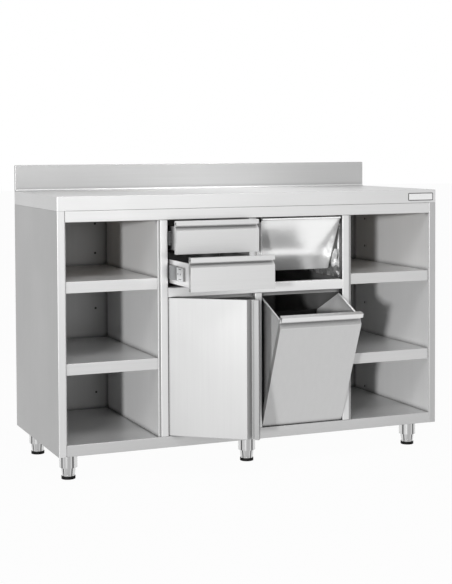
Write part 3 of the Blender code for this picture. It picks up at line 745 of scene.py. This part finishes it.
@dataclass
class SheetWork:
    """Folded sheet pieces: CAD nodes redone with rounded edges, and those that stay as they are, in greys
    that paint light and shade part by part and face by face.
    """

    edge: float = 0.0004
    # Each part's grey here is a lit or shaded copy of the one steel: painted light and shade.
    rounded: dict[str, tuple[Finish, str]] = field(default_factory=lambda: {
        "worktop": (SATIN_X, "cabinet"),
        "backsplash": (UPSTAND_X, "cabinet"),
        "left_side_panel": (SIDE_Z, "cabinet"),
        "right_side_panel": (SIDE_Z, "cabinet"),
        "left_divider": (SATIN_Z, "cabinet"),
        "right_divider": (SATIN_Z, "cabinet"),
        "mid_post": (SATIN_Z, "cabinet"),
        "top_rail": (SATIN_X, "cabinet"),
        "middle_rail": (STRIP_X, "cabinet"),
        "bottom_panel": (BASE_X, "cabinet"),
        "back_panel": (BACK_Z, "cabinet"),
        "left_bay_inner_liner": (INNER_Z, "cabinet"),
        "right_bay_inner_liner": (INNER_Z, "cabinet"),
        **{shelf: (RAIL_X, "cabinet") for shelf in SHELVES},
        "upper_drawer_front": (RAIL_X, "upper_drawer"),
        "lower_drawer_front": (RAIL_X, "lower_drawer"),
        "upper_drawer_tray": (TRAY_Y, "upper_drawer"),
        "lower_drawer_tray": (TRAY_Y, "lower_drawer"),
        "door_skin": (DOOR_Z, "door"),
        "bin_front": (BIN_Z, "bin"),
        "bin_tub": (TUB_SHADE_Z, "bin"),
        **{column + "_leg_bearer": (LEG_TUBE, "cabinet") for column in COLUMNS},
    })
    # Each second finish here paints light or shade on the faces that look one way: paler copies are painted
    # light, darker copies painted shade, the bin lip a painted highlight.
    painted_light_and_shade_faces: tuple[tuple[str, Facing], ...] = (
        ("left_side_panel", Facing(POST_Z, TO_FRONT)),
        ("right_side_panel", Facing(END_Z, TO_FRONT)),
        ("back_panel", Facing(SATIN_Z, TO_BACK)),
        ("left_bay_inner_liner", Facing(FLANGE_SHADE_Z, TO_FRONT)),
        ("right_bay_inner_liner", Facing(FLANGE_SHADE_Z, TO_FRONT)),
        ("right_divider", Facing(WELL_SHADE_Z, TO_LEFT, TO_LEFT, reach=0.002)),
        ("bottom_panel", Facing(TOP_LIT_X, UP)),
        *((shelf, Facing(TOP_LIT_X, UP)) for shelf in SHELVES),
        ("middle_rail", Facing(DECK_LIT_X, UP)),
        ("middle_rail", Facing(SHADE_X, TO_FRONT, DOWN, reach=0.0125)),
        ("upper_drawer_tray", Facing(SLIDE_BAR_LIT, TO_LEFT, TO_LEFT, reach=0.001)),
        # Only the lower tray's side gets the pale copy, as painted light; the upper tray keeps its shaded
        # grey.
        ("lower_drawer_tray", Facing(TRAY_SIDE_LIT, TO_LEFT, TO_LEFT, reach=0.020)),
        ("lower_drawer_tray", Facing(SLIDE_BAR_LIT, TO_LEFT, TO_LEFT, reach=0.001)),
        ("bin_tub", Facing(BIN_SIDE_LIGHT_SHADE, TO_LEFT, TO_LEFT, reach=0.003)),
        ("bin_tub", Facing(TUB_WALL_LIGHT_SHADE, TO_LEFT, TO_RIGHT, reach=0.003)),
        ("bin_front", Facing(BIN_CHANNEL_SHADOW, BIN_GRIP_WAY)),
        ("bin_front", Facing(BIN_LIP_HIGHLIGHT, BIN_FRONT_WAY, BIN_TOP_WAY, reach=0.018)),
        ("door_skin", Facing(DOOR_LIP_SHADE, DOOR_FRONT_WAY, DOOR_EDGE_WAY, reach=0.017)),
    )
    # The kept nodes' greys are lit or shaded copies too: painted light on the liners, partition and deck.
    kept: dict[str, Finish] = field(default_factory=lambda: {
        "worktop_core": BOARD,
        "left_bay_outer_liner": INNER_Z,
        "right_bay_outer_liner": INNER_Z,
        "lower_partition": INNER_Z,
        "upper_partition": SATIN_Z,
        "drawer_deck": DECK_LIT_X,
        "door_inner_pan": SATIN_Z,
    })

    def build(self) -> None:
        """Round and dress the folded pieces, and finish the nodes that stay."""
        for node, (finish, body) in self.rounded.items():
            piece = Bench.copy_node(node, node + "_sheet")
            Bench.soften(piece, self.edge)
            dress(piece, finish, body)
            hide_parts(node)
            for name, facing in self.painted_light_and_shade_faces:
                if name == node:
                    facing.apply(piece)
        for node, finish in self.kept.items():
            finish_node(node, finish)


@dataclass
class WasteFlap:
    """The polished push-in flap."""

    edge: float = 0.0004

    def build(self) -> None:
        """Round the flap's edges and polish it."""
        piece = Bench.copy_node("flap_panel", "flap_sheet")
        Bench.soften(piece, self.edge)
        dress(piece, MIRROR, "flap")
        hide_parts("flap_panel")
        finish_node("flap_hinge_bar", ZINC)


@dataclass
class Feet:
    """The levelling feet: a turned steel leg end on a dark pad.

    The groove's rings are shares of the foot's radius with heights above its end. The pad's rings are insets
    with heights or drops, all counted in roundings.
    """

    chamfer: float = 0.0012
    taper: float = 0.88
    groove: tuple[Span, ...] = ((1.01, 0.006), (0.985, 0.0066), (0.985, 0.0078), (1.013, 0.0084))
    pad_round: float = 0.0012
    pad_rim: float = 0.002
    pad_play: float = 0.0004
    pad_hollow: float = 0.0008
    pad_hollow_inset: float = 2.0
    pad_foot: tuple[Span, ...] = ((1.6, 0.0), (0.4, 0.0), (0.1, 0.3), (0.0, 1.0))
    pad_head: tuple[Span, ...] = ((0.0, 1.0), (0.3, 0.3), (1.0, 0.0))

    def build(self) -> None:
        """Model one foot, then copy it to each leg."""
        low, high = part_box("front_left_foot_pad")
        side = (high.x - low.x) / 2
        pad_top = high.z
        low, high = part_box("front_left_foot_insert")
        stem = (high.x - low.x) / 2
        neck = low.z
        top = high.z
        tube_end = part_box("left_leg_bearer")[0].z
        edge = self.pad_round
        foot = stem * self.taper
        cup = foot + self.pad_play
        rim = pad_top + self.pad_rim
        pad = Bench.turned("foot_pad", [
            (side - self.pad_hollow_inset * edge, self.pad_hollow),
            *((side - inset * edge, rise * edge) for inset, rise in self.pad_foot),
            *((side - inset * edge, rim - drop * edge) for inset, drop in self.pad_head),
            (cup, rim), (cup, pad_top)])
        insert = Bench.turned("foot_insert", [
            (foot - self.chamfer, neck), (foot, neck + self.chamfer),
            *((foot * share, neck + rise) for share, rise in self.groove),
            (stem, tube_end), (stem, top - self.chamfer), (stem - self.chamfer, top)])
        for row in ("front", "rear"):
            for column in COLUMNS:
                name = f"{row}_{column}"
                self.stand(pad, name, "foot_pad", RUBBER)
                self.stand(insert, name, "foot_insert", LEG_TUBE)
        for model in (pad, insert):
            bpy.data.objects.remove(model, do_unlink=True)

    @staticmethod
    def stand(model: Piece, name: str, part: str, finish: Finish) -> None:
        """Stand a copy of a foot's part under its leg.

        Args:
            model: The part, modelled round the origin.
            name: The leg's place.
            part: The CAD part that the copy stands for.
            finish: The finish of the copy.
        """
        low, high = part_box(f"{name}_{part}")
        middle = (low + high) / 2
        piece = set_out(model, f"{name}_{part}_turned", Vector((middle.x, middle.y, 0.0)), UNTURNED, finish,
                        name + "_foot")
        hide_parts(f"{name}_{part}")


@dataclass
class NamePlate:
    """A blank plate with a dark rim on the right end of the worktop's front."""

    width: float = 0.108
    height: float = 0.0285
    thickness: float = 0.0012
    from_end: float = 0.0125
    from_top: float = 0.0125
    corner: float = 0.003
    corner_faces: int = 5
    rim: float = 0.0022
    sink: float = 0.0004
    slope: float = 0.0003

    def build(self) -> None:
        """Model the plate from a box: rounded corners, then an inset face that sits back from its rim."""
        low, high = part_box("worktop")
        middle = Vector((high.x - self.from_end - self.width / 2, low.y - self.thickness / 2,
                         high.z - self.from_top - self.height / 2))
        plate = Bench.block("blank_name_plate", middle, Vector((self.width, self.thickness, self.height)))
        bpy.ops.object.mode_set(mode="EDIT")
        Bench.pick_edges(plate, self.through)
        bpy.ops.mesh.bevel(offset=self.corner, segments=self.corner_faces)
        Bench.pick_faces(plate, TO_FRONT)
        bpy.ops.mesh.inset(thickness=self.rim, depth=0.0)
        bpy.ops.mesh.inset(thickness=self.slope, depth=-self.sink)
        plate.data.materials.append(RIM.material())
        plate.data.materials.append(PLATE.material())
        plate.active_material_index = 1
        bpy.ops.object.material_slot_assign()
        bpy.ops.object.mode_set(mode="OBJECT")
        bpy.ops.object.shade_smooth_by_angle(angle=radians(Bench.TURNED_ANGLE))
        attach(plate, "cabinet")
        LOG.info("%s rides on cabinet", plate.name)

    def through(self, edge: bmesh.types.BMEdge) -> bool:
        """Whether an edge runs through the plate's thickness."""
        first, last = edge.verts
        return abs(last.co.y - first.co.y) > self.thickness / 2


@dataclass
class Cove:
    """The rounded joint between the worktop and its upstand."""

    radius: float = 0.007
    end_gap: float = 0.001
    hollow: float = 0.96
    faces: int = 8
    sag: float = 0.12

    def build(self) -> None:
        """Hollow out the front upper edge of a square strip that lies in the corner."""
        low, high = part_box("backsplash")
        size = self.radius
        front = low.y - size / 2
        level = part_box("worktop")[1].z + size / 2
        length = high.x - low.x - 2 * self.end_gap
        strip = Bench.block("upstand_cove", Vector((0.0, front, level)), Vector((length, size, size)))
        bpy.ops.object.mode_set(mode="EDIT")
        Bench.pick_edges(strip, lambda edge: all(
            end.co.y < front and end.co.z > level for end in edge.verts))
        bpy.ops.mesh.bevel(offset=size * self.hollow, segments=self.faces, profile=self.sag)
        bpy.ops.object.mode_set(mode="OBJECT")
        bpy.ops.object.shade_smooth_by_angle(angle=radians(Bench.EDGE_ANGLE))
        dress(strip, SATIN_X, "cabinet")


@dataclass
class BinRims:
    """The rolled hems along the top of the bin's sides, in the lip's paler steel as a painted highlight."""

    radius: float = 0.0040
    pivot: Span = (-0.19175, 0.160)
    tilt: float = 22.7
    front_gap: float = 0.004
    level_play: float = 0.0005
    inward: float = 0.9975
    sink: float = 0.4
    shoulder: float = 0.9
    tip: float = 0.5

    def build(self) -> None:
        """Roll one hem, then lay a copy on each side's top edge."""
        centre = Vector((0.0, *self.pivot))
        upright = Matrix.Rotation(radians(-self.tilt), 3, "X")
        corners = [upright @ (corner.co - centre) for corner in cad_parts["bin_tub"].data.vertices]
        top = max(corner.z for corner in corners)
        rim = [corner for corner in corners if corner.z > top - self.level_play]
        front = min(corner.y for corner in rim) + self.front_gap
        length = max(corner.y for corner in rim) - front
        hem = Bench.rod("bin_hem", self.radius, length, self.shoulder, self.tip)
        for side, outermost in (("left", min), ("right", max)):
            edge = outermost(corner.x for corner in rim)
            start = Vector((edge * self.inward, front, top - self.radius * self.sink))
            set_out(hem, side + "_bin_hem", centre + upright.transposed() @ start,
                    (self.tilt - 90.0, 0.0, 0.0), BIN_LIP_HIGHLIGHT, "bin")
        bpy.data.objects.remove(hem, do_unlink=True)


@dataclass
class ChuteWall:
    """The linings on both sides of the waste flap: polished on the divider, and on the partition a pale satin
    whose grey is painted light in a shaded gap.
    """

    thickness: float = 0.0008
    gap: float = 0.006
    hem: float = 0.004
    right_from_front: float = 0.026
    right_depth: float = 0.300
    left_reach: float = 0.044
    left_depth: float = 0.150

    def build(self) -> None:
        """Stand one lining on the divider and one on the partition."""
        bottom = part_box("middle_rail")[1].z + self.gap
        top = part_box("top_rail")[0].z - self.gap
        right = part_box("right_divider")[0]
        corner = Vector((right.x - self.thickness, right.y + self.right_from_front, bottom))
        size = Vector((self.thickness, self.right_depth, top - bottom))
        self.plate("chute_lining", corner, size, CHUTE)
        low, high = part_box("upper_partition")
        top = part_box("flap_hinge_bar")[0].z - self.gap
        corner = Vector((high.x, low.y - self.left_reach, bottom))
        size = Vector((self.thickness, self.left_depth, top - bottom))
        self.plate("partition_lining", corner, size, LINING_LIT_Z)

    def plate(self, name: str, corner: Vector, size: Vector, finish: Finish) -> None:
        """Press a hem into a thin upright plate.

        Args:
            name: The piece's name.
            corner: Its lowest corner.
            size: Its thickness, depth and height.
            finish: Its finish.
        """
        plate = Bench.block(name, corner + size / 2, size)
        bpy.ops.object.mode_set(mode="EDIT")
        Bench.pick_faces(plate, TO_LEFT)
        bpy.ops.mesh.inset(thickness=self.hem, depth=0.0)
        bpy.ops.mesh.inset(thickness=self.thickness, depth=self.thickness / 2)
        bpy.ops.object.mode_set(mode="OBJECT")
        Bench.soften(plate, self.thickness / 4)
        dress(plate, finish, "cabinet")


@dataclass
class Fixings:
    """Small fixings: screws and slots of the slides, and eyelets for the shelf pegs, all near-black as
    painted hole shade.

    A profile's rings are shares of the radius with heights.
    """

    screw_radius: float = 0.0030
    screw_sides: int = 20
    screw_profile: tuple[Span, ...] = ((1.0, -0.0002), (1.0, 0.00006), (0.8, 0.0001), (0.4, 0.00006))
    screw_places: Span = (0.0635, 0.0865)
    slot_radius: float = 0.0020
    slot_length: float = 0.030
    slot_shoulder: float = 0.8
    slot_tip: float = 0.4
    slot_flat: float = 0.25
    slot_sink: float = 0.0004
    slot_start: float = 0.052
    slot_level: float = 0.0175
    eyelet_radius: float = 0.0042
    eyelet_sides: int = 24
    eyelet_profile: tuple[Span, ...] = (
        (1.0, 0.0), (1.0, 0.0006), (0.85, 0.0010), (0.62, 0.0010), (0.5, 0.0004))
    back_levels: tuple[float, ...] = (0.204, 0.536, 0.753, 0.868)
    back_inset: float = 0.040
    side_levels: tuple[float, ...] = (0.160, 0.513, 0.751, 0.864)
    side_inset: float = 0.100
    zinc: tuple[str, ...] = (
        *(f"{level}_{side}_slide_{part}"
          for part in ("middle", "outer") for level in LEVELS for side in SIDES),
        "door_lower_pivot", "door_upper_pivot", "bin_left_pivot", "bin_right_pivot")

    def build(self) -> None:
        """Finish the plated parts, screw the slides and set the eyelets."""
        for node in self.zinc:
            finish_node(node, ZINC)
        self.slide_screws()
        self.slide_slots()
        self.eyelets()

    def slide_screws(self) -> None:
        """Set flush screw heads, near-black as painted hole shade, near the front of the bars on each
        drawer's sides.
        """
        size = self.screw_radius
        rings = [(size * share, height) for share, height in self.screw_profile]
        model = Bench.turned("slide_screw", rings, self.screw_sides)
        for level in LEVELS:
            low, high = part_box(level + "_drawer_tray")
            middle = (low.z + high.z) / 2
            for side, wall, sign in (("left", low.x, -1), ("right", high.x, 1)):
                for number, back in enumerate(self.screw_places, 1):
                    spot = Vector((wall, low.y + back, middle))
                    set_out(model, f"{level}_{side}_slide_screw_{number}", spot, (0.0, 90.0 * sign, 0.0),
                            HOLE_SHADE, level + "_drawer")
        bpy.data.objects.remove(model, do_unlink=True)

    def slide_slots(self) -> None:
        """Set near-black slots, painted shade of the gaps, along the upper and lower edge of each slide bar,
        near its front.
        """
        model = Bench.rod("slide_slot", self.slot_radius, self.slot_length, self.slot_shoulder, self.slot_tip)
        Bench.only(model)
        model.scale = (self.slot_flat, 1.0, 1.0)
        bpy.ops.object.transform_apply(location=True, rotation=True, scale=True)
        for level in LEVELS:
            low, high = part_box(level + "_drawer_tray")
            middle = (low.z + high.z) / 2
            start = low.y + self.slot_start
            for side, wall in (("left", low.x + self.slot_sink), ("right", high.x - self.slot_sink)):
                for edge, offset in (("low", -self.slot_level), ("high", self.slot_level)):
                    spot = Vector((wall, start, middle + offset))
                    set_out(model, f"{level}_{side}_slide_slot_{edge}", spot, (-90.0, 0.0, 0.0),
                            HOLE_SHADE, level + "_drawer")
        bpy.data.objects.remove(model, do_unlink=True)

    def eyelets(self) -> None:
        """Set columns of eyelets, near-black as painted hole shade, into the back and the outer wall of each
        bay.
        """
        size = self.eyelet_radius
        rings = [(size * share, height) for share, height in self.eyelet_profile]
        model = Bench.turned("wall_eyelet", rings, self.eyelet_sides)
        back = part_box("back_panel")[0].y
        for side, sign in (("left", -1), ("right", 1)):
            low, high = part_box(side + "_bay_inner_liner")
            inner = high.x if sign > 0 else low.x
            low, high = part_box(side + "_bay_outer_liner")
            outer = low.x if sign > 0 else high.x
            for number, level in enumerate(self.back_levels, 1):
                spot = Vector((inner + sign * self.back_inset, back, level))
                set_out(model, f"{side}_back_eyelet_{number}", spot, (90.0, 0.0, 0.0), HOLE_SHADE, "cabinet")
            for number, level in enumerate(self.side_levels, 1):
                spot = Vector((outer, back - self.side_inset, level))
                set_out(model, f"{side}_side_eyelet_{number}", spot, (0.0, -90.0 * sign, 0.0),
                        HOLE_SHADE, "cabinet")
        bpy.data.objects.remove(model, do_unlink=True)


@dataclass(frozen=True)
class Lamp:
    """A lamp that hangs at a place and faces a target, with the settings of its light."""

    name: str
    kind: str
    place: Way
    target: Way
    settings: dict[str, float | str]

    def hang(self) -> None:
        """Hang the lamp."""
        light = bpy.data.lights.new(self.name, self.kind)
        for key, value in self.settings.items():
            setattr(light, key, value)
        made = bpy.data.objects.new(self.name, light)
        made.location = self.place
        way = Vector(self.target) - Vector(self.place)
        made.rotation_euler = way.to_track_quat("-Z", "Y").to_euler()
        bpy.context.scene.collection.objects.link(made)


@dataclass
class Studio:
    """The camera at the photograph's angle, the white room and the lamps."""

    eye: Way = (-1.9752, -4.6264, 1.1723)
    turn: Way = (87.659, 0.2425, -22.7178)
    lens: float = 82.378
    sensor: float = 36.0
    picture_height: int = 584
    axis_row: float = 200.0
    room: float = 0.22
    floor_size: float = 60.0
    floor_level: float = -0.0005
    floor_grey: tuple[float, ...] = (0.5, 0.5, 0.5, 1.0)
    floor_roughness: float = 0.9
    floor_white: float = 0.97
    lamps: tuple[Lamp, ...] = (
        Lamp("low_sun", "SUN", (0.0, 0.0, 0.0), (0.64, 0.77, -0.07),
             {"energy": 2.5, "angle": radians(4.0)}),
        Lamp("top_panel", "AREA", (-0.7, -2.2, 3.2), (-0.2, -0.1, 0.75),
             {"energy": 50.0, "shape": "RECTANGLE", "size": 2.6, "size_y": 1.0}),
        Lamp("worktop_spot", "SPOT", (0.15, -0.40, 2.8), (0.10, 0.25, 1.0),
             {"energy": 220.0, "spot_size": radians(28.0), "spot_blend": 1.0, "shadow_soft_size": 0.30}),
        Lamp("front_panel", "AREA", (0.2, -3.5, 1.0), (-0.6, -0.2, 0.9),
             {"energy": 9.0, "shape": "RECTANGLE", "size": 1.4, "size_y": 1.0}),
    )

    def build(self) -> None:
        """Set up the camera, floor, world and lamps."""
        self.camera()
        self.floor()
        self.world()
        for lamp in self.lamps:
            lamp.hang()
        bpy.context.scene.view_settings.view_transform = "Standard"

    def camera(self) -> None:
        """Stand the camera where the photograph was taken from."""
        data = bpy.data.cameras.new("camera")
        data.lens = self.lens
        data.sensor_width = self.sensor
        data.shift_y = (self.axis_row - self.picture_height / 2) / self.picture_height
        camera = bpy.data.objects.new("camera", data)
        camera.location = self.eye
        camera.rotation_euler = Euler([radians(part) for part in self.turn])
        bpy.context.scene.collection.objects.link(camera)
        bpy.context.scene.camera = camera

    def floor(self) -> None:
        """Lay a pale floor that shows white to the camera and keeps a faint shadow."""
        bpy.ops.object.select_all(action="DESELECT")
        bpy.ops.mesh.primitive_plane_add(size=self.floor_size, location=(0.0, 0.0, self.floor_level))
        floor = bpy.context.object
        floor.name = "floor"
        made = bpy.data.materials.new("pale_floor")
        made.use_nodes = True
        desk = NodeDesk(made.node_tree)
        shader = made.node_tree.nodes["Principled BSDF"]
        desk.feed(shader, {"Base Color": self.floor_grey, "Roughness": self.floor_roughness})
        share = desk.calc("MULTIPLY", self.seen(desk), self.floor_white)
        self.blend(desk, share, shader, desk.add("ShaderNodeEmission"), "Material Output")
        floor.data.materials.append(made)

    @staticmethod
    def seen(desk: NodeDesk) -> Socket:
        """A socket that is 1 for rays that show the background: from the camera, a gloss or a glass.

        Args:
            desk: The tree to add the nodes to.

        Returns:
            The socket.
        """
        rays = desk.add("ShaderNodeLightPath").outputs
        direct = desk.calc("MAXIMUM", rays["Is Camera Ray"], rays["Is Glossy Ray"])
        return desk.calc("MAXIMUM", direct, rays["Is Transmission Ray"])

    @staticmethod
    def blend(desk: NodeDesk, share: Socket, first: Node, second: Node, end: str) -> None:
        """Mix two shaders into the surface of a tree.

        Args:
            desk: The tree.
            share: The share of the second shader.
            first: The first shader.
            second: The second shader.
            end: The name of the tree's output node.
        """
        mix = desk.add("ShaderNodeMixShader", {0: share, 1: first.outputs[0], 2: second.outputs[0]})
        desk.feed(desk.tree.nodes[end], {"Surface": mix.outputs[0]})

    def world(self) -> None:
        """Light the room evenly, and show it white."""
        world = bpy.data.worlds.new("room")
        bpy.context.scene.world = world
        world.use_nodes = True
        desk = NodeDesk(world.node_tree)
        light = world.node_tree.nodes["Background"]
        desk.feed(light, {"Color": WHITE, "Strength": self.room})
        white = desk.add("ShaderNodeBackground", {"Color": WHITE})
        self.blend(desk, self.seen(desk), light, white, "World Output")


def main() -> None:
    """Build the classes in order and log each one as done."""
    logging.basicConfig(level=logging.INFO, format="%(message)s")
    parts = (Studio(), SheetWork(), WasteFlap(), ChuteWall(), Feet(), NamePlate(), Cove(), BinRims(),
             Fixings())
    for part in parts:
        part.build()
        LOG.info("%s done", type(part).__name__)


if __name__ == "__main__":
    main()
